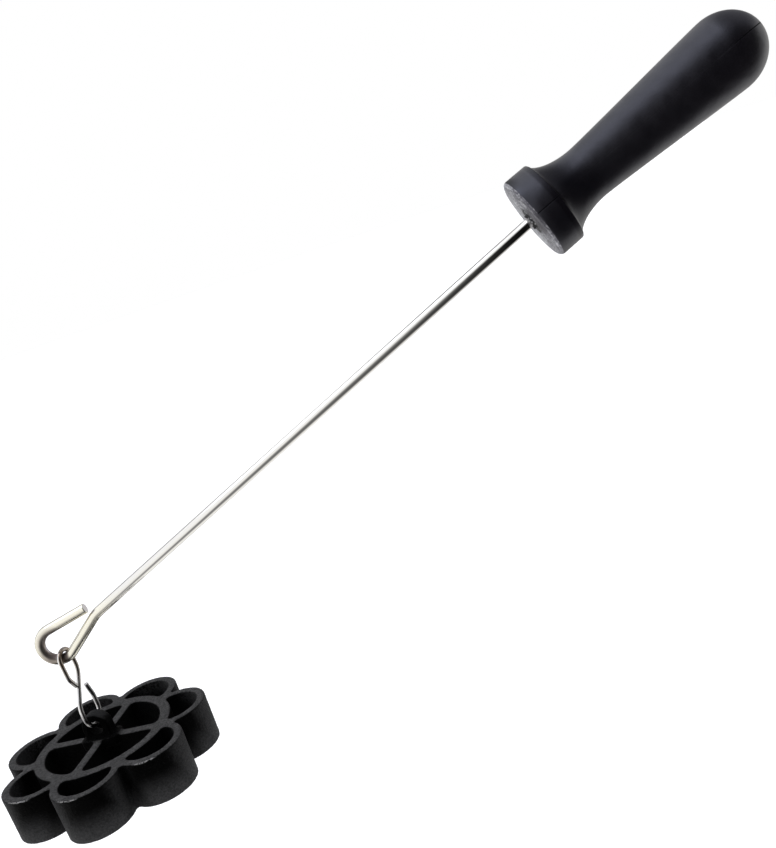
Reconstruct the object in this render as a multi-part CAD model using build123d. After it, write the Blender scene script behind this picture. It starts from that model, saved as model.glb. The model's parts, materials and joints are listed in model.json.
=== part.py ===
from build123d import *
import os
from math import asin, cos, degrees, radians, sin, tan

# Rosette iron: a seven-petal cast mould hangs by an S-shaped wire link from a hooked rod,
# and the rod's tang sits in a moulded handle. It is drawn held by the handle, with the
# mould hanging plumb. Sizes are in millimetres and angles in degrees. The origin is on
# the handle's axis at the middle of the grip, +Z is up, and the rod rises towards +X in
# the XZ plane.

# Stance
handle_angle = 22.35
mould_turn = -13.5
grip_station = 48.6

# Handle, a turned shape: stations run along its axis from the flange's front face
handle_length = 97.2
flange_radius = 15.75
flange_width = 9.95
flange_draft = 0.2
flange_front_edge = 1.7
flange_back_edge = 0.7
shoulder_drop = 1.2
shoulder_run = 0.3
neck_radius = 9.8
neck_station = 24.6
swell_radius = 13.55
dome_length = 14.6
neck_steep_shares = (0.16, 0.42)
neck_flat_share = 0.54
grip_leave_share = 0.08
grip_arrive_share = 0.93

# Rod: one wire, straight from its tang to a kink, then bent back on itself as a hook
rod_diameter = 3.8
rod_reach = 206.7
tang_depth = 46.6
tang_point = 1.2
entry_run = 2.0
entry_turn = 1.25
entry_radius = 120.0
bore_end_gap = 1.5
bore_mouth = 0.6
kink_turn = 15.6
kink_radius = 12.0
hook_leg = 17.3
hook_bend_radius = 6.25
hook_arm_angle = 11.9
hook_arm = 16.3
rod_end_edge = 0.35

# S-link: one thin wire, closed round the hook and open at the mould
link_wire = 1.7
link_height = 31.15
link_top_width = 7.7
link_low_width = 10.5
link_bend_slack = 0.1
link_knee_radius = 6.0
link_shank_radius = 8.0
link_station = 0.3
lug_station = 1.4
link_gap = 0.35
link_end_edge = 0.2
top_knee_share = 0.68
low_knee_share = 0.30
top_tip_shares = (-0.175, 0.535)
low_tip_shares = (0.38, 0.465)

# Mould: seven petals round a ring and four spokes inside it, with a little casting draft
petal_count = 7
spoke_count = 4
ring_bore = 44.0
ring_wall = 4.4
petal_bore = 19.0
petal_wall = 3.3
petal_circle = 54.4
mould_height = 18.0
spoke_width = 4.0
mould_draft = 1.0
cell_corner = 1.2
notch_corner = 0.8
spoke_corner = 1.6
rim_edge = 0.5

# Lug on a low pad over the spokes' crossing, with a cross hole for the link
pad_length = 15.6
pad_width = 8.4
pad_corner = 2.6
pad_rise = 0.8
pad_root = 3.0
pad_edge = 0.4
lug_thickness = 5.0
lug_radius = 5.5
lug_hole = 5.6
lug_hole_height = 4.8
lug_foot = 2.2
lug_edge = 0.6
lug_hole_edge = 0.5
lug_gap = 0.25

# One overrun for every cut
overrun = 5.0

rod_radius = rod_diameter / 2
wire_radius = link_wire / 2
ring_inner = ring_bore / 2
ring_outer = ring_inner + ring_wall
petal_inner = petal_bore / 2
petal_outer = petal_inner + petal_wall
petal_pitch = petal_circle / 2
hole_radius = lug_hole / 2
draft_lean = mould_height * tan(radians(mould_draft))


def heading(angle):
    """A unit vector at this angle above the horizontal, in the flat layout of the XZ plane."""
    return Vector(cos(radians(angle)), sin(radians(angle)))


# The rod's layout in the XZ plane, from the handle down to the hook's tip
rod_angle = handle_angle + entry_turn
up_handle = heading(handle_angle)
up_rod = heading(rod_angle)
up_leg = heading(rod_angle + kink_turn)
up_arm = heading(hook_arm_angle)
handle_face = up_handle * -grip_station
rod_entry = handle_face - up_handle * entry_run
kink = rod_entry - up_rod * rod_reach
bend_start = kink - up_leg * hook_leg
bend_centre = bend_start + heading(rod_angle + kink_turn + 90) * hook_bend_radius
hook_wrap = 180 + rod_angle + kink_turn - hook_arm_angle

# The link hangs on the hook's lower bend and leans to the mould, which hangs on its lower bend
seat_x = bend_centre.X + link_station
seat_slope = asin(link_station / hook_bend_radius)
seat_z = bend_centre.Y - hook_bend_radius * cos(seat_slope)
link_lean = asin((lug_station - link_station) / link_height)
link_x = bend_centre.X + lug_station
link_top_z = seat_z + (rod_radius + wire_radius) / cos(seat_slope) + link_gap
link_low_z = link_top_z - link_height * cos(link_lean)
low_bend = link_low_width / 2 - link_bend_slack
exit_slope = asin(lug_thickness / 2 / low_bend)
exit_rise = low_bend * (1 - cos(exit_slope)) + wire_radius / cos(exit_slope)
hole_z = link_low_z + exit_rise + lug_gap - hole_radius
mould_top_z = hole_z - lug_hole_height


def make_handle():
    """The moulded handle: flange, waisted neck, swelling grip, round end and blind bore."""
    back_radius = flange_radius - flange_draft
    swell_station = handle_length - dome_length
    shoulder = (flange_width + shoulder_run, back_radius - shoulder_drop)
    neck_run = neck_station - shoulder[0]
    neck_fall = shoulder[1] - neck_radius
    grip_run = swell_station - neck_station
    steep = (shoulder[0] + neck_steep_shares[0] * neck_run, neck_radius + neck_steep_shares[1] * neck_fall)
    flat = (shoulder[0] + neck_flat_share * neck_run, neck_radius)
    neck = (neck_station, neck_radius)
    leave = (neck_station + grip_leave_share * grip_run, neck_radius)
    arrive = (neck_station + grip_arrive_share * grip_run, swell_radius)
    swell = (swell_station, swell_radius)
    outline = Polyline((0, 0), (0, flange_radius), (flange_width, back_radius), shoulder)
    outline += Bezier(shoulder, steep, flat, neck)
    outline += Bezier(neck, leave, arrive, swell)
    swell_centre = (swell_station, 0)
    outline += EllipticalCenterArc(swell_centre, dome_length, swell_radius, start_angle=0, arc_size=90)
    outline += Line((handle_length, 0), (0, 0))
    body = revolve(make_face(outline), axis=Axis.X)
    back_rim = body.edges().filter_by(GeomType.CIRCLE).sort_by(Axis.X)[1]
    body = fillet(back_rim, radius=flange_back_edge)
    front_rim = body.edges().filter_by(GeomType.CIRCLE).sort_by(Axis.X)[0]
    body = fillet(front_rim, radius=flange_front_edge)
    along = Rotation(0, 90, 0)
    low = (Align.CENTER, Align.CENTER, Align.MIN)
    body -= along * Cylinder(rod_radius, tang_depth + bore_end_gap, align=low)
    body -= along * Cone(rod_radius + bore_mouth, rod_radius, bore_mouth, align=low)
    return Plane.XZ.location * Pos(handle_face) * Rotation(0, 0, handle_angle) * body


def make_rod():
    """The rod and its hook in one sweep, with a pointed tang and a trimmed tip."""
    tang_end = handle_face + up_handle * tang_depth
    entry_start = rod_entry + up_handle * entry_radius * tan(radians(entry_turn / 2))
    entry = JernArc(entry_start, -up_handle, entry_radius, entry_turn)
    kink_start = kink + up_rod * kink_radius * tan(radians(kink_turn / 2))
    turn = JernArc(kink_start, -up_rod, kink_radius, kink_turn)
    bend = JernArc(bend_start, -up_leg, hook_bend_radius, -hook_wrap)
    tip = bend @ 1 + up_arm * hook_arm
    layout = Line(tang_end, entry_start) + entry + Line(entry @ 1, kink_start) + turn
    layout += Line(turn @ 1, bend_start) + bend + Line(bend @ 1, tip)
    path = (Plane.XZ * layout).wire()
    rod = sweep(Plane(path @ 0, z_dir=path % 0) * Circle(rod_radius), path=path)
    rims = rod.edges().filter_by(GeomType.CIRCLE)
    tang_rim = rims.sort_by_distance(path @ 0)[0]
    rod = chamfer(tang_rim, length=tang_point)
    tip_rim = rod.edges().filter_by(GeomType.CIRCLE).sort_by_distance(path @ 1)[0]
    return fillet(tip_rim, radius=rod_end_edge)


def make_link():
    """The S-link: its upper bend closes on the shank and its lower bend stays open."""
    top = link_top_width / 2
    low = link_low_width / 2
    top_tip = (top_tip_shares[0] * link_top_width, top_tip_shares[1] * link_height)
    low_tip = (low_tip_shares[0] * link_low_width, low_tip_shares[1] * link_height)
    top_knee = top_knee_share * link_height
    low_knee = low_knee_share * link_height
    corners = [
        top_tip, (-top, top_knee), (-top, link_height), (top, link_height), (top, top_knee),
        (-low, low_knee), (-low, 0), (low, 0), (low, low_knee), low_tip,
    ]
    bends = [
        link_knee_radius, top - link_bend_slack, top - link_bend_slack, link_shank_radius,
        link_shank_radius, low_bend, low_bend, link_knee_radius,
    ]
    upright = Plane((link_x, 0, link_low_z), x_dir=(-sin(radians(mould_turn)), cos(radians(mould_turn)), 0),
                    z_dir=(cos(radians(mould_turn)), sin(radians(mould_turn)), 0))
    face = upright * Rotation(-degrees(link_lean), 0, 0)
    path = (face * FilletPolyline(*corners, radius=bends)).wire()
    link = sweep(Plane(path @ 0, z_dir=path % 0) * Circle(wire_radius), path=path)
    ends = link.edges().filter_by(GeomType.CIRCLE)
    rims = [ends.sort_by_distance(path @ 0)[0], ends.sort_by_distance(path @ 1)[0]]
    return fillet(rims, radius=link_end_edge)


def frustum(radius, lean):
    """A round block as deep as the mould, this wide at the rim, growing downwards by the lean."""
    return Cone(radius + lean, radius, mould_height, align=(Align.CENTER, Align.CENTER, Align.MAX))


def corners_between_cones(solid):
    """The edges that run from rim to base where two drafted round walls meet."""
    tall = [edge for edge in solid.edges() if edge.bounding_box().size.Z > mould_height / 2]
    return [edge for edge in tall if edge.geom_type != GeomType.LINE]


def petal_places(radius):
    """One place for each petal, with a spoke's end between the first and the last."""
    return PolarLocations(radius, petal_count, start_angle=180 / petal_count)


def mould_walls():
    """The petals' outer walls and the ring as one drafted block, its notches eased."""
    walls = frustum(ring_outer, -draft_lean)
    for place in petal_places(petal_pitch):
        walls += place * frustum(petal_outer, -draft_lean)
    return fillet(corners_between_cones(walls), radius=notch_corner)


def petal_cell():
    """One petal's opening: a round hole that the ring cuts off, with eased corners."""
    cell = Pos(petal_pitch) * frustum(petal_inner, draft_lean) - frustum(ring_outer, -draft_lean)
    return fillet(corners_between_cones(cell), radius=cell_corner)


def ring_cell():
    """One opening inside the ring, between two spokes."""
    half = spoke_width / 2
    reach = ring_inner + overrun
    quarter = Pos(half, half) * Rectangle(reach, reach, align=(Align.MIN, Align.MIN))
    outline = fillet((Circle(ring_inner) & quarter).vertices(), radius=spoke_corner)
    return extrude(outline.face(), amount=-mould_height, taper=-mould_draft)


def make_lug():
    """The lug: an arched boss with spreading feet and a cross hole, standing on its low pad."""
    width = 2 * lug_radius
    arch = Pos(0, lug_hole_height) * Circle(lug_radius)
    arch += Rectangle(width, lug_hole_height, align=(Align.CENTER, Align.MIN))
    foot = Rectangle(width + 2 * lug_foot, lug_foot, align=(Align.CENTER, Align.MIN))
    for side in (-1, 1):
        foot -= Pos(side * (lug_radius + lug_foot), lug_foot) * Circle(lug_foot)
    front = Plane.XZ * (arch + foot)
    lug = extrude(front, amount=lug_thickness / 2, both=True)
    crest = lug.edges().filter_by(GeomType.CIRCLE).sort_by(Axis.Z)[-2:]
    lug = fillet(crest, radius=lug_edge)
    bore = Pos(0, 0, lug_hole_height) * Rotation(90, 0, 0) * Cylinder(hole_radius, lug_thickness + overrun)
    lug -= bore
    rounds = lug.edges().filter_by(GeomType.CIRCLE)
    mouths = [edge for edge in rounds if abs(edge.radius - hole_radius) < lug_edge]
    lug = fillet(mouths, radius=lug_hole_edge)
    slab = RectangleRounded(pad_length, pad_width, pad_corner)
    pad = Pos(0, 0, -pad_root) * extrude(slab, amount=pad_root + pad_rise)
    pad = fillet(pad.faces().sort_by(Axis.Z)[-1].edges(), radius=pad_edge)
    return pad + lug


def make_mould():
    """The whole casting, rounded along its rim and turned to its place under the link."""
    mould = mould_walls()
    for place in petal_places(0):
        mould -= place * petal_cell()
    for place in PolarLocations(0, spoke_count):
        mould -= place * ring_cell()
    rim = mould.faces().sort_by(Axis.Z)[-1]
    mould = fillet(rim.edges(), radius=rim_edge)
    mould += make_lug()
    return Pos(link_x, 0, mould_top_z) * Rotation(0, 0, mould_turn) * mould


nodes = {
    "handle": make_handle(),
    "rod": make_rod(),
    "s_link": make_link(),
    "mould": make_mould(),
}

os.makedirs("parts", exist_ok=True)
for name, solid in nodes.items():
    solid.label = name
    export_step(solid, f"parts/{name}.step")
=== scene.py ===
"""Looks of a rosette iron: a black cast petal mould that hangs by a wire link from a bright
hooked rod, whose tang sits in a black moulded handle.

Lengths are in metres. A zone is a pair of values: an effect starts at the first one and is
full at the second. Shares are a pair too: what counts where a mask is 0 and where it is 1.
"""

import json
import math
import random

import bmesh
import bpy
from mathutils import Matrix, Vector, noise


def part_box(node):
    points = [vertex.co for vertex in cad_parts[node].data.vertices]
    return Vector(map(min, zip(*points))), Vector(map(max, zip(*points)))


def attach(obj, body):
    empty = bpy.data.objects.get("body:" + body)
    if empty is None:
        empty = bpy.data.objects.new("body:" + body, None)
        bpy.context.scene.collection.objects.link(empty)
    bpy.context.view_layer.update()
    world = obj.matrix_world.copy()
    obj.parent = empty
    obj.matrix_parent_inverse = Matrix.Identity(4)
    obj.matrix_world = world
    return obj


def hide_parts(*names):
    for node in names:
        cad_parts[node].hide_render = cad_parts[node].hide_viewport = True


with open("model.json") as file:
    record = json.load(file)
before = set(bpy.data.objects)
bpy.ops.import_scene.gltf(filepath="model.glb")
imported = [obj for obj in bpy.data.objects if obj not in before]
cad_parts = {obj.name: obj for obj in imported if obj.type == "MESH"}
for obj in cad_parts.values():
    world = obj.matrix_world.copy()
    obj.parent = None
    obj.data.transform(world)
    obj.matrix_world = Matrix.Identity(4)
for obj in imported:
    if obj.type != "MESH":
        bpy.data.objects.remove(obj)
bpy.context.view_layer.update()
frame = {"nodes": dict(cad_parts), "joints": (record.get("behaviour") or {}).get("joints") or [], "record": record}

GRIP_BODY = "grip_and_rod"

# Camera, placed from the pivot where the mould hangs on the link
camera_from_pivot = Vector((0.1456, -0.3439, 0.1532))
camera_pitch = 76.824
camera_yaw = 1.157
camera_roll = -18.889
camera_nearest = 0.01
camera_farthest = 50.0
sensor_width = 36.0
picture_height_px = 848
focal_length_px = 1000

# Stage
floor_drop = 0.24
floor_radius = 9.0
floor_sides = 128
floor_roughness = 0.9
floor_glow = 0.55

# Surroundings, turned about the rod: a dim room in front that narrows towards the hook
rod_axis = (-0.9164, 0.0, -0.4003)
rod_over = (-0.4003, 0.0, 0.9164)
dim_edge = math.radians(20)
dim_top_wide = math.radians(38)
dim_top_narrow = math.radians(-18)
dim_low_wide = math.radians(-102)
dim_low_narrow = math.radians(-46)
dim_top_lift = math.radians(16)
dim_low_lift = math.radians(9)
dim_from = -0.1
dim_to = 0.45
dim_level_handle = 0.005
dim_level_hook = 0.34
handle_zone = (-0.11, -0.15)
haze_turn_zone = (math.radians(-28), math.radians(14))
haze_rod_zone = (-0.09, 0.03)
haze_level = 0.2
past_neck_zone = (-0.3, -0.75)
past_neck_level = 0.07

# Surroundings behind the tool, and the lamp-lit room over the handle
behind_zone = (-0.35, -0.75)
behind_heights = (-0.4, 0.4)
behind_shares = (0.62, 0.92)
behind_at_handle = 0.4
behind_gap = 0.17
behind_gap_zone = (0.02, 0.18)
behind_gap_share = 0.4
above_zone = (0.2, 0.8)
past_grip_zone = (-0.25, -0.6)
past_grip_height_zone = (-0.25, 0.2)
lamp_zone = (0.3, -0.45)

# Key light, over the rod
key_target = Vector((-0.09, 0.0, -0.03))
key_turn = math.radians(90)
key_lean = 0.14
key_distance = 1.1
key_size = 0.55
key_power = 2.2
key_colour = (0.80, 0.85, 1.0)

# Handle: the mesh is turned from the CAD node's own profile, then detailed
turned_sides = 128
station_digits = 5
ring_spacing = 0.0004
bore_zone = 0.0028
moulding_share = 0.9998
face_rings = 16
face_turn = -0.34
face_depth = 0.0015
face_inside = 0.995
crater_radius = 0.0033
crater_depth = 0.0008
burr_height = 0.0007
burr_rise = 0.7
burr_lumps = 900
burr_scatter = 0.3
burr_spread = 0.07
burr_bias = 0.4
scuff_seed = 7
scuff_depth = 0.00009
tang_clearance = 0.00012
tang_mouth = 1.08
parting_turn = math.radians(10)
parting_width = 0.00012
parting_depth = 0.00003
parting_rubbed = 0.25
parting_rubbed_from = 0.014
parting_rubbed_to = 0.076
parting_least_radius = 0.004
smooth_angle = math.radians(32)
plane_slack = 1e-7
line_slack = 1e-6

# Mould: a copy of the CAD node's mesh, remeshed and roughened inwards
rim_below_pivot = 0.00573
weld_gap = 0.00001
cast_voxel = 0.00051
cast_grain = 0.0016
cast_depth = 0.00012
cast_soften = 0.35

# Handle's moulding: zones by station from its face
line_zone = (parting_width * 1.7, parting_width * 0.8)
line_front_zone = (0.012, 0.009)
line_rear_zone = (0.078, 0.086)
line_on_grip = 0.2
line_roughness = 0.5
moulding_roughness = (0.29, 0.35)
handled_roughness = 0.06
moulding_gloss = 0.5
line_gloss = 0.05
neck_front_zone = (0.0075, 0.0085)
neck_rear_zone = (0.024, 0.014)
neck_dulling = 0.5
moulding_waves = 85.0
moulding_grain = 0.1
moulding_bump = 0.0004

# Handle's cut face: zones by reach from its axis, and by side, the near one being -Y
wander_scale = 420.0
wander_depth = 0.0016
turning_pitch = 0.0011
turning_height = 0.07
sanding_height = 0.8
pitting_height = 0.6
pale_zone = (0.6, 0.8)
far_zone = (-0.013, 0.011)
smear_shares = (0.85, 0.4)
face_rim_shares = (0.1, 0.75)
crack_shares = (0.85, 0.45)
near_share = 0.35
far_share = 0.3
face_rim_zone = (0.0142, 0.0152)
crack_scale = 520.0
crack_zone = (0.045, 0.005)
stain_level_zone = (0.0075, 0.002)
stain_side_zone = (0.55, 0.2)
stain_shares = (0.65, 0.95)
torn_zone = (0.0066, 0.0055)
face_roughness = 0.55
face_bump = 0.0003

# Rod's wire: zones by reach from the middle of the hook's bend, and by place beside and below it
rod_radius = 0.0019
hook_bend_radius = 0.00625
link_past_bend = 0.0003
hook_arm_angle = math.radians(11.9)
hook_zone = (0.034, 0.016)
# Painted shade round the hook's bend: tan, brown and dark, where the dim room and the link reflect
inner_bend_zone = (0.0083, 0.0048)
outer_bend_zone = (0.0105, 0.0088)
before_shank_zone = (0.0032, 0.0018)
past_link_zone = (0.0, 0.0008)
below_bend_zone = (0.0005, -0.0058)
painted_tan_shares = (0.55, 0.9)
painted_brown_shares = (0.6, 1.0)
shade_share = 0.85
cut_zone = (0.9, 0.97)
plating_roughness = (0.03, 0.13)
hook_roughness = 0.12
brown_roughness = 0.3
cut_roughness = 0.2
wire_bump = 0.00001

# Link's wire: zones by height over the mould's pivot, and by the side that a surface faces
link_brown_from = 0.012
link_brown_shares = (0.45, 1.0)
# A painted highlight on the link's left-facing side
link_painted_highlight_zone = (0.0, 0.45)
# Painted shade on the link's right-facing side above the mould
link_painted_shade_zone = (0.1, 0.5)
link_painted_shade_from = 0.02
link_painted_shade_to = 0.012
link_painted_shade_share = 0.75
link_metallic = (1.0, 0.5)
link_roughness = (0.1, 0.24)
link_painted_highlight_roughness = 0.25

# Mould's casting: zones by height about the rim, reach from the middle, and turn upwards
# The rim's grey is partly its rubbed finish, partly painted light on its upward face
rim_zone = (0.0007, 0.0004)
rim_up_zone = (0.5, 0.95)
corner_height_zone = (0.0014, 0.0008)
corner_up_zone = (0.1, 0.4)
corner_flat_zone = (0.88, 0.66)
petal_zone = (0.028, 0.032)
worn_stretches = ((-53.5, 6.5), (-96.0, 7.0), (-131.0, 7.0))
worn_metal = 0.8
speckle_zone = (0.36, 0.64)
# Painted sheen on the walls, as of pale surroundings reflecting low down and at grazing angles
painted_sheen_side = (0.98, 0.2, 0.0)
painted_sheen_side_zone = (0.42, 0.98)
painted_sheen_from = 0.005
painted_sheen_to = 0.018
painted_sheen_flank_shares = (0.55, 1.0)
painted_sheen_low_share = 0.8
painted_sheen_speckle_shares = (0.5, 1.0)
painted_sheen_outer_zone = (0.0305, 0.0365)
painted_sheen_valley_share = 0.55
painted_sheen_wall_zone = (0.0265, 0.0285)
# Painted light near the top of the inner walls, fading into their shade lower down
inner_wall_zone = (0.0, -0.015)
inner_wall_from = 0.008
inner_wall_to = 0.001
inner_wall_reach_zone = (0.03, 0.034)
# Painted light on the lug's upward-facing crest
crest_up_zone = (0.35, 0.8)
crest_from = 0.004
crest_to = 0.007
rim_soot_share = 0.3
speck_shares = (0.08, 0.8)
casting_roughness = (0.45, 0.62)
casting_gloss = 0.015
casting_sheen = 0.008
casting_sheen_roughness = 0.4
casting_bump = 0.0007


def rgb(red, green, blue):
    """An opaque colour for a shader socket."""
    return (red, green, blue, 1.0)


# Colours
white = rgb(1.0, 1.0, 1.0)
floor_white = rgb(0.86, 0.86, 0.86)
room_level = rgb(1.08, 1.07, 1.05)
room_above = rgb(1.14, 1.15, 1.18)
room_past_grip = rgb(0.42, 0.42, 0.46)
room_behind = rgb(0.1, 0.1, 0.1)
lamp_front = rgb(2.7, 2.75, 3.0)
lamp_back = rgb(1.75, 1.78, 1.9)
moulding_dark = rgb(0.0018, 0.0015, 0.0027)
moulding_light = rgb(0.0036, 0.0026, 0.0038)
moulding_glint = rgb(0.84, 0.86, 1.0)
line_black = rgb(0.0012, 0.0012, 0.0014)
face_low = rgb(0.028, 0.027, 0.034)
face_high = rgb(0.6, 0.6, 0.62)
face_smear = rgb(0.06, 0.057, 0.07)
face_rim = rgb(0.5, 0.5, 0.52)
face_near = rgb(0.05, 0.047, 0.062)
face_far = rgb(0.62, 0.62, 0.64)
face_crack = rgb(0.022, 0.019, 0.032)
face_stain = rgb(0.02, 0.018, 0.026)
face_torn = rgb(0.006, 0.006, 0.008)
face_fleck = rgb(0.42, 0.42, 0.43)
rod_bright = rgb(0.80, 0.785, 0.755)
hook_cream = rgb(0.86, 0.83, 0.72)
# Painted shade colours for the hook's bend
hook_painted_tan = rgb(0.42, 0.365, 0.32)
hook_painted_brown = rgb(0.22, 0.175, 0.165)
hook_shade = rgb(0.09, 0.075, 0.07)
rod_cut = rgb(0.68, 0.66, 0.67)
link_grey = rgb(0.56, 0.555, 0.55)
link_brown = rgb(0.25, 0.19, 0.135)
link_painted_shade = rgb(0.12, 0.12, 0.12)
link_painted_highlight = rgb(0.92, 0.91, 0.89)
casting_black = rgb(0.0003, 0.0003, 0.0003)
casting_sooty = rgb(0.0012, 0.0012, 0.0012)
# Painted sheen on the walls
casting_painted_sheen = rgb(0.073, 0.073, 0.0735)
inner_wall_painted_light = rgb(0.034, 0.034, 0.0343)
lug_crest_painted_light = rgb(0.028, 0.028, 0.0283)
casting_speck = rgb(0.06, 0.06, 0.06)
casting_rim_dark = rgb(0.04, 0.0395, 0.039)
casting_rim_light = rgb(0.115, 0.113, 0.11)
casting_rim_soot = rgb(0.022, 0.022, 0.022)
casting_worn = rgb(0.36, 0.356, 0.352)


def record_item(items, name):
    """The record's mount or joint of this name."""
    return next(item for item in items if item["name"] == name)


# Directions, and places on the part, read from the frame
front = Vector((0.0, -1.0, 0.0))
upwards = Vector((0.0, 0.0, 1.0))
mould_pivot = Vector(record_item(frame["joints"], "mould_tilt")["pos_m"])
link_pivot = Vector(record_item(frame["joints"], "link_swing")["pos_m"])
grip_axis = Vector(record_item(frame["record"]["mounts"], "grip")["axis"]).normalized()
hook_arm = Vector((math.cos(hook_arm_angle), 0.0, math.sin(hook_arm_angle)))
hook_middle = link_pivot + Vector((-link_past_bend, 0.0, hook_bend_radius))
grip_rise = (upwards - grip_axis * grip_axis.z).normalized()
parting_out = math.cos(parting_turn) * front + math.sin(parting_turn) * grip_rise
parting_normal = grip_axis.cross(parting_out).normalized()
handle_face = min(vertex.co.dot(grip_axis) for vertex in frame["nodes"]["handle"].data.vertices)
mould_middle = Vector((mould_pivot.x, mould_pivot.y, 0.0))
rim_height = mould_pivot.z - rim_below_pivot


# Node trees


class Tree:
    """A node tree that is filled from left to right with short calls."""

    def __init__(self, tree):
        self.tree = tree
        self.tree.nodes.clear()

    def feed(self, socket, value):
        """Links an output to the socket, or sets the socket's own value."""
        if isinstance(value, bpy.types.NodeSocket):
            self.tree.links.new(value, socket)
        else:
            socket.default_value = value

    def add(self, kind, inputs=None, **settings):
        """Adds a node, sets its own settings, and sets or links its inputs."""
        node = self.tree.nodes.new(kind)
        for name, value in settings.items():
            setattr(node, name, value)
        for name, value in (inputs or {}).items():
            self.feed(node.inputs[name], value)
        return node

    def math(self, operation, first, second=0.5):
        """One arithmetic step on one value or on two."""
        return self.add("ShaderNodeMath", {0: first, 1: second}, operation=operation).outputs[0]

    def times(self, first, second):
        """The product of two values."""
        return self.math("MULTIPLY", first, second)

    def plus(self, first, second):
        """The sum of two values."""
        return self.math("ADD", first, second)

    def minus(self, first, second):
        """What is left of the first value without the second."""
        return self.math("SUBTRACT", first, second)

    def larger(self, first, second):
        """The larger of two values."""
        return self.math("MAXIMUM", first, second)

    def unsigned(self, value):
        """The value without its sign."""
        return self.math("ABSOLUTE", value)

    def ramp(self, value, low, high):
        """A smooth step from 0 at low to 1 at high."""
        inputs = {"Value": value, "From Min": low, "From Max": high}
        return self.add("ShaderNodeMapRange", inputs, interpolation_type="SMOOTHSTEP").outputs["Result"]

    def between(self, value, start, end, low, high):
        """A value that runs from low to high as the given one runs from start to end."""
        inputs = {"Value": value, "From Min": start, "From Max": end, "To Min": low, "To Max": high}
        return self.add("ShaderNodeMapRange", inputs).outputs["Result"]

    def span(self, value, low, high):
        """A value from 0 to 1, spread from low to high."""
        inputs = {"Value": value, "To Min": low, "To Max": high}
        return self.add("ShaderNodeMapRange", inputs).outputs["Result"]

    def vector(self, operation, inputs):
        """One step of vector arithmetic."""
        return self.add("ShaderNodeVectorMath", inputs, operation=operation).outputs

    def dot(self, first, second):
        """How far one direction follows another."""
        return self.vector("DOT_PRODUCT", {0: first, 1: second})["Value"]

    def offset(self, place, origin):
        """The way from the origin to the place."""
        return self.vector("SUBTRACT", {0: place, 1: origin})[0]

    def length(self, vector):
        """The vector's length."""
        return self.vector("LENGTH", {0: vector})["Value"]

    def parts(self, vector):
        """The vector's X, Y and Z."""
        return self.add("ShaderNodeSeparateXYZ", {0: vector}).outputs

    def mix(self, share, first, second):
        """A colour between two colours."""
        node = self.add("ShaderNodeMix", data_type="RGBA")
        for socket, value in ((node.inputs[0], share), (node.inputs[6], first), (node.inputs[7], second)):
            self.feed(socket, value)
        return node.outputs[2]

    def noise(self, vector, scale, detail=2.0, roughness=0.5):
        """Even noise with this many features to a metre."""
        inputs = {"Vector": vector, "Scale": scale, "Detail": detail, "Roughness": roughness}
        return self.add("ShaderNodeTexNoise", inputs).outputs["Fac"]

    def along(self, place, direction):
        """The place, turned so that its X runs along this direction."""
        turn = Vector(direction).to_track_quat("X", "Z").inverted().to_euler()
        mapping = self.add("ShaderNodeMapping", {"Vector": place, "Rotation": turn}, vector_type="POINT")
        return mapping.outputs[0]

    def bump(self, height, depth):
        """A normal raised by this height, over this depth."""
        return self.add("ShaderNodeBump", {"Height": height, "Distance": depth, "Strength": 1.0}).outputs[0]

    def group(self, kind, **inputs):
        """Places one of the shared effects with its own values."""
        node = self.tree.nodes.new("ShaderNodeGroup")
        node.node_tree = kind
        for name, value in inputs.items():
            self.feed(node.inputs[name.replace("_", " ").capitalize()], value)
        return node.outputs[0]


def effect(name, inputs, output):
    """A shared effect: an empty node group with its sockets, ready to be filled."""
    group = bpy.data.node_groups.new(name, "ShaderNodeTree")
    tree = Tree(group)
    for label, kind, value in inputs:
        socket = group.interface.new_socket(label, in_out="INPUT", socket_type=kind)
        if value is not None:
            socket.default_value = value
    group.interface.new_socket(output, in_out="OUTPUT", socket_type="NodeSocketFloat")
    return tree, tree.add("NodeGroupInput").outputs, tree.add("NodeGroupOutput").inputs[0]


def make_grain():
    """Cast or moulded grain: soft lumps with finer pits on them."""
    tree, given, result = effect(
        "grain",
        [("Place", "NodeSocketVector", None), ("Lumps", "NodeSocketFloat", 900.0),
         ("Pits", "NodeSocketFloat", 4000.0), ("Pit share", "NodeSocketFloat", 0.4)],
        "Height",
    )
    lumps = tree.noise(given["Place"], given["Lumps"], detail=3.0, roughness=0.55)
    pits = tree.noise(given["Place"], given["Pits"], detail=2.0, roughness=0.6)
    mixed = tree.add("ShaderNodeMix", {0: given["Pit share"], 2: lumps, 3: pits}, data_type="FLOAT")
    tree.feed(result, mixed.outputs[0])
    return tree.tree


def make_blotch():
    """Broad uneven patches, as of handling, soot or stain."""
    tree, given, result = effect(
        "blotch",
        [("Place", "NodeSocketVector", None), ("Size", "NodeSocketFloat", 60.0),
         ("Edge", "NodeSocketFloat", 0.2), ("Level", "NodeSocketFloat", 0.5)],
        "Mask",
    )
    patches = tree.noise(given["Place"], given["Size"], detail=4.0, roughness=0.6)
    low = tree.minus(given["Level"], given["Edge"])
    high = tree.plus(given["Level"], given["Edge"])
    tree.feed(result, tree.ramp(patches, low, high))
    return tree.tree


def make_streaks():
    """Fine lines along one direction, as drawing or sanding leaves them."""
    tree, given, result = effect(
        "streaks",
        [("Place", "NodeSocketVector", None), ("Fineness", "NodeSocketFloat", 3000.0),
         ("Length", "NodeSocketFloat", 40.0)],
        "Height",
    )
    stretch = {"X": given["Length"], "Y": given["Fineness"], "Z": given["Fineness"]}
    scale = tree.add("ShaderNodeCombineXYZ", stretch).outputs[0]
    stretched = tree.vector("MULTIPLY", {0: given["Place"], 1: scale})[0]
    tree.feed(result, tree.noise(stretched, 1.0, detail=3.0, roughness=0.6))
    return tree.tree


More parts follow.
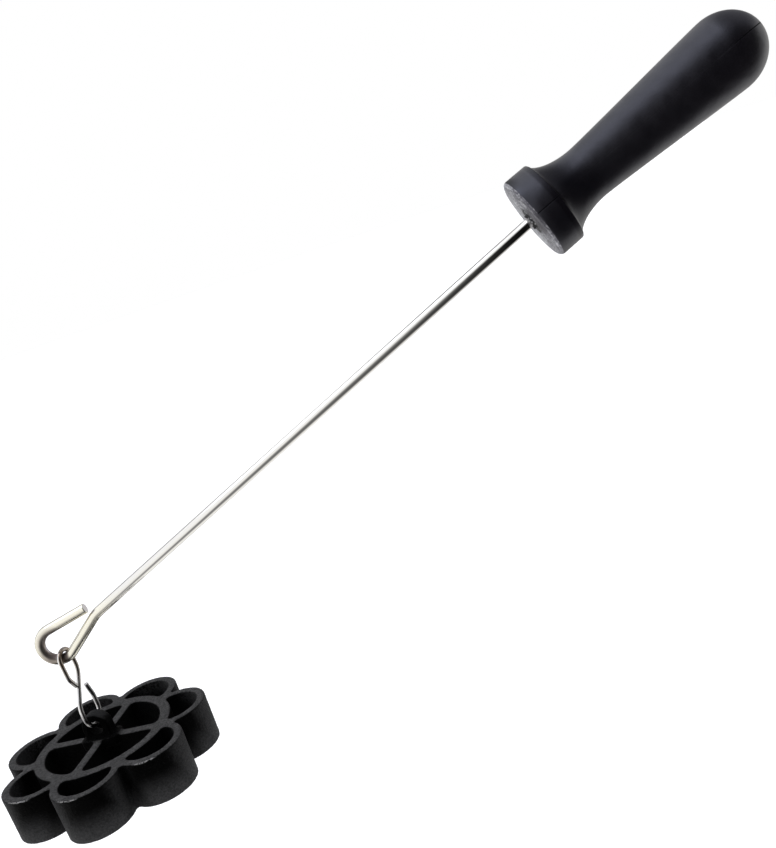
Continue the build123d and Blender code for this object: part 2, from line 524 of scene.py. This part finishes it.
GRAIN = make_grain()
BLOTCH = make_blotch()
STREAKS = make_streaks()


def start_material(name):
    """A material with its tree, its surface shader and its place on the object."""
    material = bpy.data.materials.new(name)
    material.use_nodes = True
    tree = Tree(material.node_tree)
    shader = tree.add("ShaderNodeBsdfPrincipled")
    tree.add("ShaderNodeOutputMaterial", {"Surface": shader.outputs[0]})
    return material, tree, shader, tree.add("ShaderNodeTexCoord").outputs


def set_surface(tree, shader, values):
    """Sets or links the shader's sockets."""
    for name, value in values.items():
        tree.feed(shader.inputs[name], value)


def black_plastic():
    """The handle's satin moulding: near black, cool where it catches light, duller in its neck and
    along its parting line."""
    material, tree, shader, place = start_material("black_plastic")
    patches = tree.group(BLOTCH, place=place["Object"], size=45.0, edge=0.22, level=0.5)
    grain = tree.group(GRAIN, place=place["Object"], lumps=1400.0, pits=5200.0, pit_share=0.35)
    handled = tree.group(BLOTCH, place=place["Object"], size=190.0, edge=0.3, level=0.55)
    colour = tree.mix(patches, moulding_dark, moulding_light)
    station = tree.minus(tree.dot(place["Object"], grip_axis), handle_face)
    off_line = tree.unsigned(tree.dot(place["Object"], parting_normal))
    at_ends = tree.larger(tree.ramp(station, *line_front_zone), tree.ramp(station, *line_rear_zone))
    line = tree.times(tree.ramp(off_line, *line_zone), tree.span(at_ends, line_on_grip, 1.0))
    roughness = tree.plus(tree.span(patches, *moulding_roughness), tree.times(handled, handled_roughness))
    neck = tree.times(tree.ramp(station, *neck_front_zone), tree.ramp(station, *neck_rear_zone))
    neck = tree.times(neck, neck_dulling)
    waves = tree.noise(place["Object"], moulding_waves)
    height = tree.plus(tree.times(grain, moulding_grain), waves)
    set_surface(tree, shader, {
        "Base Color": tree.mix(line, colour, line_black),
        "Roughness": tree.plus(roughness, tree.times(line, line_roughness)),
        "Specular IOR Level": tree.span(tree.larger(line, neck), moulding_gloss, line_gloss),
        "Specular Tint": moulding_glint,
        "Normal": tree.bump(height, moulding_bump),
    })
    return material


def scuffed_face():
    """The handle's front face: cut and sanded grey, paler on its far side, stained and cracked on
    its near side, and torn dark where the rod goes in."""
    material, tree, shader, place = start_material("scuffed_face")
    upright = Vector((grip_axis.z, 0.0, -grip_axis.x))
    along_grip = tree.dot(place["Object"], grip_axis)
    on_axis = tree.vector("SCALE", {0: grip_axis, "Scale": along_grip})[0]
    reach = tree.length(tree.offset(place["Object"], on_axis))
    sanding = tree.group(STREAKS, place=tree.along(place["Object"], upright), fineness=1500.0, length=190.0)
    smears = tree.group(BLOTCH, place=place["Object"], size=260.0, edge=0.14, level=0.5)
    pits = tree.group(GRAIN, place=place["Object"], lumps=900.0, pits=3600.0, pit_share=0.45)
    wander = tree.noise(place["Object"], wander_scale, detail=3.0)
    wavy_reach = tree.plus(reach, tree.times(wander, wander_depth))
    turned = tree.math("SINE", tree.times(wavy_reach, 2 * math.pi / turning_pitch))
    height = tree.plus(tree.times(sanding, sanding_height), tree.times(pits, pitting_height))
    height = tree.plus(height, tree.times(turned, turning_height))
    far_side = tree.ramp(tree.dot(place["Object"], (0.0, 1.0, 0.0)), *far_zone)
    near_side = tree.minus(1.0, far_side)
    pale = tree.mix(tree.ramp(height, *pale_zone), face_low, face_high)
    dulled = tree.times(smears, tree.span(far_side, *smear_shares))
    pale = tree.mix(dulled, pale, face_smear)
    rim = tree.times(tree.ramp(wavy_reach, *face_rim_zone), tree.span(far_side, *face_rim_shares))
    pale = tree.mix(rim, pale, face_rim)
    pale = tree.mix(tree.times(near_side, near_share), pale, face_near)
    pale = tree.mix(tree.times(far_side, far_share), pale, face_far)
    ridges = tree.unsigned(tree.minus(tree.noise(place["Object"], crack_scale, detail=3.0), 0.5))
    cracks = tree.times(tree.ramp(ridges, *crack_zone), tree.span(far_side, *crack_shares))
    pale = tree.mix(cracks, pale, face_crack)
    off_level = tree.unsigned(tree.dot(place["Object"], upright))
    stained = tree.times(tree.ramp(off_level, *stain_level_zone), tree.ramp(far_side, *stain_side_zone))
    stained = tree.times(stained, tree.span(smears, *stain_shares))
    pale = tree.mix(stained, pale, face_stain)
    torn = tree.ramp(wavy_reach, *torn_zone)
    flecks = tree.group(BLOTCH, place=place["Object"], size=900.0, edge=0.05, level=0.6)
    pale = tree.mix(torn, pale, face_torn)
    set_surface(tree, shader, {
        "Base Color": tree.mix(tree.times(torn, flecks), pale, face_fleck),
        "Roughness": face_roughness,
        "Normal": tree.bump(height, face_bump),
    })
    return material


def bright_wire():
    """The rod's plated wire: bright, creamy towards the hook, with painted shade round its bend up to
    where the shank starts: tan below, brown inside and darkest where the link reflects."""
    material, tree, shader, place = start_material("bright_wire")
    rubbed = tree.group(GRAIN, place=place["Object"], lumps=260.0, pits=3800.0, pit_share=0.3)
    stains = tree.group(BLOTCH, place=place["Object"], size=380.0, edge=0.3, level=0.42)
    from_bend = tree.offset(place["Object"], hook_middle)
    reach = tree.length(from_bend)
    on_hook = tree.ramp(reach, *hook_zone)
    sideways = tree.parts(from_bend)["X"]
    before_shank = tree.ramp(sideways, *before_shank_zone)
    near_bend = tree.times(tree.ramp(reach, *inner_bend_zone), before_shank)
    below = tree.ramp(tree.parts(from_bend)["Z"], *below_bend_zone)
    below = tree.times(below, tree.ramp(reach, *outer_bend_zone))
    below = tree.times(below, before_shank)
    # Painted shade where the dark link reflects in the bend
    shaded = tree.times(below, tree.ramp(sideways, *past_link_zone))
    # Painted shade: tan under the bend and brown inside it, broken up by blotches
    painted_tan = tree.times(below, tree.span(stains, *painted_tan_shares))
    brown = tree.times(near_bend, tree.span(stains, *painted_brown_shares))
    cut = tree.ramp(tree.dot(place["Normal"], hook_arm), *cut_zone)
    colour = tree.mix(on_hook, rod_bright, hook_cream)
    colour = tree.mix(painted_tan, colour, hook_painted_tan)
    colour = tree.mix(brown, colour, hook_painted_brown)
    colour = tree.mix(tree.times(shaded, shade_share), colour, hook_shade)
    roughness = tree.plus(tree.span(rubbed, *plating_roughness), tree.times(on_hook, hook_roughness))
    roughness = tree.plus(roughness, tree.times(brown, brown_roughness))
    set_surface(tree, shader, {
        "Metallic": 1.0,
        "Base Color": tree.mix(cut, colour, rod_cut),
        "Roughness": tree.plus(roughness, tree.times(cut, cut_roughness)),
        "Normal": tree.bump(rubbed, wire_bump),
    })
    return material


def dull_wire():
    """The link's thin wire: grey steel, browned towards the hook, with a painted highlight on its left
    side and painted shade on its right side above the mould."""
    material, tree, shader, place = start_material("dull_wire")
    height = tree.parts(place["Object"])["Z"]
    upper = tree.ramp(height, mould_pivot.z + link_brown_from, link_pivot.z)
    stains = tree.group(BLOTCH, place=place["Object"], size=520.0, edge=0.25, level=0.45)
    upright = tree.along(place["Object"], upwards)
    drawn = tree.group(STREAKS, place=upright, fineness=6500.0, length=160.0)
    brown = tree.times(upper, tree.span(stains, *link_brown_shares))
    colour = tree.mix(brown, link_grey, link_brown)
    # Painted highlight: the link's left-facing side made pale
    rubbed = tree.ramp(tree.dot(place["Normal"], (-1.0, 0.0, 0.0)), *link_painted_highlight_zone)
    # Painted shade: the link's right-facing side darkened above the mould
    painted_shade = tree.ramp(tree.dot(place["Normal"], (1.0, 0.0, 0.0)), *link_painted_shade_zone)
    low = tree.ramp(height, mould_pivot.z + link_painted_shade_from, mould_pivot.z + link_painted_shade_to)
    painted_shade = tree.times(painted_shade, low)
    colour = tree.mix(tree.times(painted_shade, link_painted_shade_share), colour, link_painted_shade)
    set_surface(tree, shader, {
        "Metallic": tree.span(rubbed, *link_metallic),
        "Base Color": tree.mix(rubbed, colour, link_painted_highlight),
        "Roughness": tree.plus(tree.span(drawn, *link_roughness), tree.times(rubbed, link_painted_highlight_roughness)),
        "Normal": tree.bump(drawn, wire_bump),
    })
    return material


def cast_black():
    """The mould's casting: black walls with painted sheen low down and on their flanks, a greyer rim
    that is partly rubbed and partly painted light on its upward face, painted light atop the inner walls and on
    the lug's crest, and bright worn corners."""
    material, tree, shader, place = start_material("cast_black")
    normal_up = tree.parts(place["Normal"])["Z"]
    height = tree.parts(place["Object"])["Z"]
    off_rim = tree.unsigned(tree.minus(height, rim_height))
    from_middle = tree.offset(place["Object"], mould_middle)
    outward = tree.vector("MULTIPLY", {0: from_middle, 1: (1.0, 1.0, 0.0)})[0]
    reach = tree.length(outward)
    grain = tree.group(GRAIN, place=place["Object"], lumps=1300.0, pits=3800.0, pit_share=0.5)
    soot = tree.group(BLOTCH, place=place["Object"], size=150.0, edge=0.25, level=0.5)
    speckled = tree.ramp(grain, *speckle_zone)
    # Rim grey: partly its rubbed finish, partly painted light on its upward face
    rubbed = tree.times(tree.ramp(off_rim, *rim_zone), tree.ramp(normal_up, *rim_up_zone))
    worn = worn_corners(tree, place, off_rim, normal_up, outward)
    worn = tree.times(worn, tree.ramp(reach, *petal_zone))
    # Painted sheen, as of pale surroundings reflecting, low down and on the flanks
    painted_sheen = painted_sheen_on_walls(tree, place, height, reach, speckled)
    sides = tree.mix(soot, casting_black, casting_sooty)
    sides = tree.mix(painted_sheen, sides, casting_painted_sheen)
    # Painted light near the top of the inner walls, fading into their shade lower down
    inward = tree.ramp(tree.dot(place["Normal"], outward), *inner_wall_zone)
    near_top = tree.ramp(height, rim_height - inner_wall_from, rim_height - inner_wall_to)
    near_top = tree.times(inward, near_top)
    near_top = tree.times(near_top, tree.ramp(reach, *inner_wall_reach_zone))
    sides = tree.mix(tree.times(near_top, speckled), sides, inner_wall_painted_light)
    # Painted light on the lug's upward-facing crest
    on_lug = tree.ramp(height, rim_height + crest_from, rim_height + crest_to)
    crest = tree.times(tree.ramp(normal_up, *crest_up_zone), on_lug)
    sides = tree.mix(crest, sides, lug_crest_painted_light)
    specks = tree.group(BLOTCH, place=place["Object"], size=1900.0, edge=0.05, level=0.63)
    specks = tree.times(specks, tree.span(painted_sheen, *speck_shares))
    sides = tree.mix(specks, sides, casting_speck)
    rim = tree.mix(speckled, casting_rim_dark, casting_rim_light)
    rim = tree.mix(tree.times(soot, rim_soot_share), rim, casting_rim_soot)
    colour = tree.mix(rubbed, sides, rim)
    set_surface(tree, shader, {
        "Base Color": tree.mix(worn, colour, casting_worn),
        "Metallic": tree.times(worn, worn_metal),
        "Roughness": tree.span(rubbed, *casting_roughness),
        "Specular IOR Level": casting_gloss,
        "Sheen Weight": casting_sheen,
        "Sheen Roughness": casting_sheen_roughness,
        "Normal": tree.bump(grain, casting_bump),
    })
    return material


def worn_corners(tree, place, off_rim, normal_up, outward):
    """Where the rim's rounded corner is chipped bright, in a few stretches round the mould."""
    at_corner = tree.ramp(off_rim, *corner_height_zone)
    corner = tree.times(tree.ramp(normal_up, *corner_up_zone), tree.ramp(normal_up, *corner_flat_zone))
    split = tree.parts(outward)
    azimuth = tree.times(tree.math("ARCTAN2", split["Y"], split["X"]), 180 / math.pi)
    stretches = 0.0
    for middle, half in worn_stretches:
        off_stretch = tree.unsigned(tree.minus(azimuth, middle))
        stretches = tree.larger(stretches, tree.ramp(off_stretch, half, half / 2))
    chips = tree.group(BLOTCH, place=place["Object"], size=1500.0, edge=0.1, level=0.47)
    return tree.times(tree.times(at_corner, corner), tree.times(chips, stretches))


def painted_sheen_on_walls(tree, place, height, reach, speckled):
    """Where the petals' walls get painted sheen, as of pale surroundings reflecting: low down and on their flanks,
    less in the valleys.
    """
    across = tree.unsigned(tree.dot(place["Normal"], painted_sheen_side))
    lower = tree.ramp(height, rim_height - painted_sheen_from, rim_height - painted_sheen_to)
    flanks = tree.times(tree.ramp(across, *painted_sheen_side_zone), tree.span(lower, *painted_sheen_flank_shares))
    painted_sheen = tree.larger(flanks, tree.times(lower, painted_sheen_low_share))
    painted_sheen = tree.times(painted_sheen, tree.span(speckled, *painted_sheen_speckle_shares))
    open_side = tree.larger(tree.ramp(reach, *painted_sheen_outer_zone), tree.times(lower, painted_sheen_valley_share))
    return tree.times(painted_sheen, tree.times(open_side, tree.ramp(reach, *painted_sheen_wall_zone)))


# Pieces


def deselect():
    """Clears the selection, which the loaded CAD nodes are in."""
    bpy.ops.object.select_all(action="DESELECT")


def pick(thing, kind, test):
    """In edit mode, selects the mesh's vertices or edges that pass the test, and no others."""
    bpy.ops.mesh.select_all(action="DESELECT")
    bpy.ops.mesh.select_mode(type=kind)
    mesh = bmesh.from_edit_mesh(thing.data)
    elements = {"VERT": mesh.verts, "EDGE": mesh.edges}[kind]
    for element in elements:
        if test(element):
            element.select_set(True)
    mesh.select_flush_mode()
    bmesh.update_edit_mesh(thing.data)


def handle_profile():
    """The handle's outline, read from its node: stations from the face and their radii."""
    stations = {}
    for vertex in frame["nodes"]["handle"].data.vertices:
        station = vertex.co.dot(grip_axis)
        radius = (vertex.co - grip_axis * station).length
        key = round(station, station_digits)
        stations[key] = max((radius, station), stations.get(key, (0.0, station)))
    face = min(station for radius, station in stations.values())
    end = max(station for radius, station in stations.values())
    outline = []
    for key in sorted(stations):
        radius, station = stations[key]
        if radius > bore_zone or station > end - bore_zone:
            outline.append(((station - face) * moulding_share, radius))
    kept = outline[:1]
    for point in outline[1:-1]:
        if math.dist(point, kept[-1]) >= ring_spacing:
            kept.append(point)
    kept.append(outline[-1])
    return face, kept


def extrude(step):
    """Extrudes what is selected along Z."""
    bpy.ops.mesh.extrude_region_move(TRANSFORM_OT_translate={"value": (0.0, 0.0, step)})


def ring_to(step, share):
    """Extrudes the selected ring along Z and scales it about the axis."""
    extrude(step)
    bpy.ops.transform.resize(value=(share, share, 1.0), center_override=(0.0, 0.0, 0.0))


def turn_handle():
    """The handle, extruded ring by ring, with a crater round the rod and a parting line."""
    face, outline = handle_profile()
    deselect()
    first_radius = outline[0][1]
    bpy.ops.mesh.primitive_circle_add(vertices=turned_sides, radius=first_radius, location=(0.0, 0.0, 0.0))
    handle = bpy.context.object
    handle.name = "handle_moulding"
    handle.data.name = "handle_moulding"
    bpy.ops.object.mode_set(mode="EDIT")
    for (station, radius), (next_station, next_radius) in zip(outline[:-2], outline[1:-1]):
        ring_to(next_station - station, next_radius / radius)
    extrude(outline[-1][0] - outline[-2][0])
    bpy.ops.mesh.merge(type="CENTER")
    line_handle_face(handle, first_radius)
    mark_parting_line(handle)
    bpy.ops.mesh.select_all(action="SELECT")
    bpy.ops.mesh.normals_make_consistent(inside=False)
    bpy.ops.object.mode_set(mode="OBJECT")
    place_on_grip(handle, face)
    bpy.ops.object.shade_smooth_by_angle(angle=smooth_angle)
    handle.data.materials.append(black_plastic())
    handle.data.materials.append(scuffed_face())
    for polygon in handle.data.polygons:
        centre = polygon.center - grip_axis * face
        faces_front = polygon.normal.dot(grip_axis) < face_turn
        polygon.material_index = 1 if faces_front and centre.dot(grip_axis) < face_depth else 0
    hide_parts("handle")
    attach(handle, GRIP_BODY)


def line_handle_face(handle, face_radius):
    """Closes the front face in rings, down into the rough crater that the rod stands in."""
    pick(handle, "VERT", lambda vertex: abs(vertex.co.z) < plane_slack)
    radius = face_radius
    for step in range(1, face_rings + 1):
        target = face_radius + (crater_radius - face_radius) * step / face_rings
        ring_to(0.0, target / radius)
        radius = target
    tang_radius = rod_radius + tang_clearance
    burr_radius = (crater_radius + tang_radius) / 2
    ring_to(-burr_height * burr_rise, burr_radius / radius)
    ring_to(0.0, tang_radius * tang_mouth / burr_radius)
    ring_to(burr_height + crater_depth, 1 / tang_mouth)
    ring_to(crater_depth, 1.0)
    bpy.ops.mesh.edge_face_add()
    roughen = random.Random(scuff_seed)
    mesh = bmesh.from_edit_mesh(handle.data)
    for vertex in mesh.verts:
        reach = vertex.co.xy.length
        if vertex.co.z < -plane_slack:
            lump = noise.noise(vertex.co * burr_lumps) + roughen.uniform(-burr_scatter, burr_scatter)
            vertex.co.z -= burr_height * lump
            vertex.co.xy *= 1 + burr_spread * (lump + burr_bias)
        elif reach < face_radius * face_inside and abs(vertex.co.z) < plane_slack:
            vertex.co.z += roughen.uniform(0.0, scuff_depth)
    bmesh.update_edit_mesh(handle.data)


def mark_parting_line(handle):
    """Cuts the thin line where the two halves of the handle's mould met, on both sides."""
    def on_line(vertex):
        outside = vertex.co.xy.length > parting_least_radius and vertex.co.z > -plane_slack
        return outside and abs(vertex.co.y) < line_slack

    def runs_along(edge):
        first, second = edge.verts
        behind_face = first.co.z > line_slack or second.co.z > line_slack
        return behind_face and on_line(first) and on_line(second)

    pick(handle, "EDGE", runs_along)
    bpy.ops.mesh.bevel(offset=parting_width, segments=2, affect="EDGES")
    pick(handle, "VERT", lambda vertex: on_line(vertex) and vertex.co.z > line_slack)
    mesh = bmesh.from_edit_mesh(handle.data)
    for vertex in mesh.verts:
        if vertex.select:
            rubbed = parting_rubbed_from < vertex.co.z < parting_rubbed_to
            depth = parting_depth * (parting_rubbed if rubbed else 1.0)
            vertex.co.xy = vertex.co.xy * (1.0 - depth / vertex.co.xy.length)
    bmesh.update_edit_mesh(handle.data)


def place_on_grip(thing, face):
    """Moves a piece drawn along Z to the handle's axis, with its X in the parting plane."""
    across = parting_out.normalized()
    matrix = Matrix((across, grip_axis.cross(across), grip_axis)).transposed().to_4x4()
    thing.data.transform(Matrix.Translation(grip_axis * face) @ matrix)
    thing.data.update()


def cast_mould():
    """The mould as a casting: its CAD shape with softened edges and a slightly uneven skin."""
    deselect()
    node = frame["nodes"]["mould"]
    mould = bpy.data.objects.new("mould_casting", node.data.copy())
    mould.data.name = "mould_casting"
    bpy.context.scene.collection.objects.link(mould)
    mould.select_set(True)
    bpy.context.view_layer.objects.active = mould
    bpy.ops.object.mode_set(mode="EDIT")
    bpy.ops.mesh.select_all(action="SELECT")
    bpy.ops.mesh.remove_doubles(threshold=weld_gap)
    bpy.ops.object.mode_set(mode="OBJECT")
    remesh = mould.modifiers.new("remesh", "REMESH")
    remesh.mode = "VOXEL"
    remesh.voxel_size = cast_voxel
    soften = mould.modifiers.new("soften", "SMOOTH")
    soften.factor = cast_soften
    soften.iterations = 1
    cloud = bpy.data.textures.new("cast_skin", "CLOUDS")
    cloud.noise_scale = cast_grain
    cloud.noise_depth = 2
    skin = mould.modifiers.new("skin", "DISPLACE")
    skin.texture = cloud
    skin.texture_coords = "LOCAL"
    skin.mid_level = 0.0
    skin.strength = -cast_depth
    for modifier in ("remesh", "soften", "skin"):
        bpy.ops.object.modifier_apply(modifier=modifier)
    bpy.ops.object.shade_smooth()
    mould.data.materials.clear()
    mould.data.materials.append(cast_black())
    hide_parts("mould")
    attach(mould, "mould")


def dress_nodes():
    """Gives the CAD nodes that show as they are their finishes."""
    finishes = {"rod": bright_wire(), "s_link": dull_wire()}
    for name, material in finishes.items():
        slots = frame["nodes"][name].data.materials
        slots.clear()
        slots.append(material)


# Stage, light and camera


def pale_surface():
    """The floor's plain white."""
    material, tree, shader, _ = start_material("pale_floor")
    set_surface(tree, shader, {
        "Base Color": floor_white,
        "Roughness": floor_roughness,
        "Emission Color": white,
        "Emission Strength": floor_glow,
    })
    return material


def lay_floor():
    """A wide round floor below the mould."""
    deselect()
    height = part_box("mould")[0].z - floor_drop
    bpy.ops.mesh.primitive_circle_add(
        vertices=floor_sides, radius=floor_radius, fill_type="NGON", location=(0.0, 0.0, height)
    )
    floor = bpy.context.object
    floor.name = "floor"
    floor.data.materials.append(pale_surface())
    floor.visible_glossy = False


def hang_key_light():
    """A square soft cool light over the rod, facing it."""
    away = math.cos(key_turn) * front + math.sin(key_turn) * Vector(rod_over)
    away = (away + Vector(rod_axis) * key_lean).normalized()
    data = bpy.data.lights.new("key", "AREA")
    data.shape = "RECTANGLE"
    data.size = key_size
    data.size_y = key_size
    data.energy = key_power
    data.color = key_colour
    light = bpy.data.objects.new("key", data)
    bpy.context.scene.collection.objects.link(light)
    light.location = key_target + away * key_distance
    light.rotation_euler = (key_target - light.location).to_track_quat("-Z", "Y").to_euler()


def light_surroundings():
    """Bright surroundings with a dim stretch of room in front of the rod, which stands a little
    higher before the handle."""
    world = bpy.data.worlds.new("surroundings")
    bpy.context.scene.world = world
    world.use_nodes = True
    tree = Tree(world.node_tree)
    direction = tree.add("ShaderNodeTexCoord").outputs["Generated"]
    toward_front = tree.dot(direction, front)
    overhead = tree.dot(direction, rod_over)
    along_rod = tree.dot(direction, rod_axis)
    turn = tree.math("ARCTAN2", overhead, toward_front)
    at_handle = tree.ramp(along_rod, *handle_zone)
    top = tree.between(along_rod, dim_from, dim_to, dim_top_wide, dim_top_narrow)
    top = tree.plus(top, tree.times(at_handle, dim_top_lift))
    low = tree.between(along_rod, dim_from, dim_to, dim_low_wide, dim_low_narrow)
    low = tree.plus(low, tree.times(at_handle, dim_low_lift))
    over = tree.ramp(turn, tree.minus(top, dim_edge), tree.plus(top, dim_edge))
    under = tree.ramp(turn, tree.plus(low, dim_edge), tree.minus(low, dim_edge))
    clear = tree.larger(over, under)
    haze = tree.times(tree.ramp(turn, *haze_turn_zone), haze_level)
    haze = tree.times(haze, tree.ramp(along_rod, *haze_rod_zone))
    level = tree.plus(tree.between(along_rod, dim_from, dim_to, dim_level_handle, dim_level_hook), haze)
    level = tree.plus(level, tree.times(tree.ramp(along_rod, *past_neck_zone), past_neck_level))
    behind = tree.ramp(toward_front, *behind_zone)
    behind = tree.times(behind, tree.between(overhead, *behind_heights, *behind_shares))
    behind = tree.times(behind, tree.span(at_handle, 1.0, behind_at_handle))
    off_gap = tree.unsigned(tree.minus(along_rod, behind_gap))
    behind = tree.times(behind, tree.span(tree.ramp(off_gap, *behind_gap_zone), behind_gap_share, 1.0))
    above = tree.ramp(overhead, *above_zone)
    past_grip = tree.times(tree.ramp(along_rod, *past_grip_zone), tree.ramp(overhead, *past_grip_height_zone))
    room = tree.mix(above, room_level, room_above)
    lamp = tree.mix(tree.ramp(toward_front, *lamp_zone), lamp_front, lamp_back)
    room = tree.mix(tree.times(at_handle, above), room, lamp)
    room = tree.mix(past_grip, room, room_past_grip)
    room = tree.mix(behind, room, room_behind)
    dim = tree.add("ShaderNodeCombineColor", {0: level, 1: level, 2: level}).outputs[0]
    colour = tree.mix(clear, dim, room)
    seen = tree.add("ShaderNodeLightPath").outputs["Is Camera Ray"]
    background = tree.add("ShaderNodeBackground", {"Color": tree.mix(seen, colour, white)})
    tree.add("ShaderNodeOutputWorld", {"Surface": background.outputs[0]})


def place_camera():
    """The camera at the photograph's viewing angle, rolled as it was held."""
    data = bpy.data.cameras.new("camera")
    data.sensor_width = sensor_width
    data.lens = sensor_width * focal_length_px / picture_height_px
    data.clip_start = camera_nearest
    data.clip_end = camera_farthest
    camera = bpy.data.objects.new("camera", data)
    bpy.context.scene.collection.objects.link(camera)
    yaw = Matrix.Rotation(math.radians(camera_yaw), 4, "Z")
    pitch = Matrix.Rotation(math.radians(camera_pitch), 4, "X")
    roll = Matrix.Rotation(math.radians(camera_roll), 4, "Z")
    camera.matrix_world = Matrix.Translation(mould_pivot + camera_from_pivot) @ yaw @ pitch @ roll
    bpy.context.scene.camera = camera


place_camera()
lay_floor()
light_surroundings()
hang_key_light()
bpy.context.scene.view_settings.view_transform = "Standard"
turn_handle()
cast_mould()
dress_nodes()
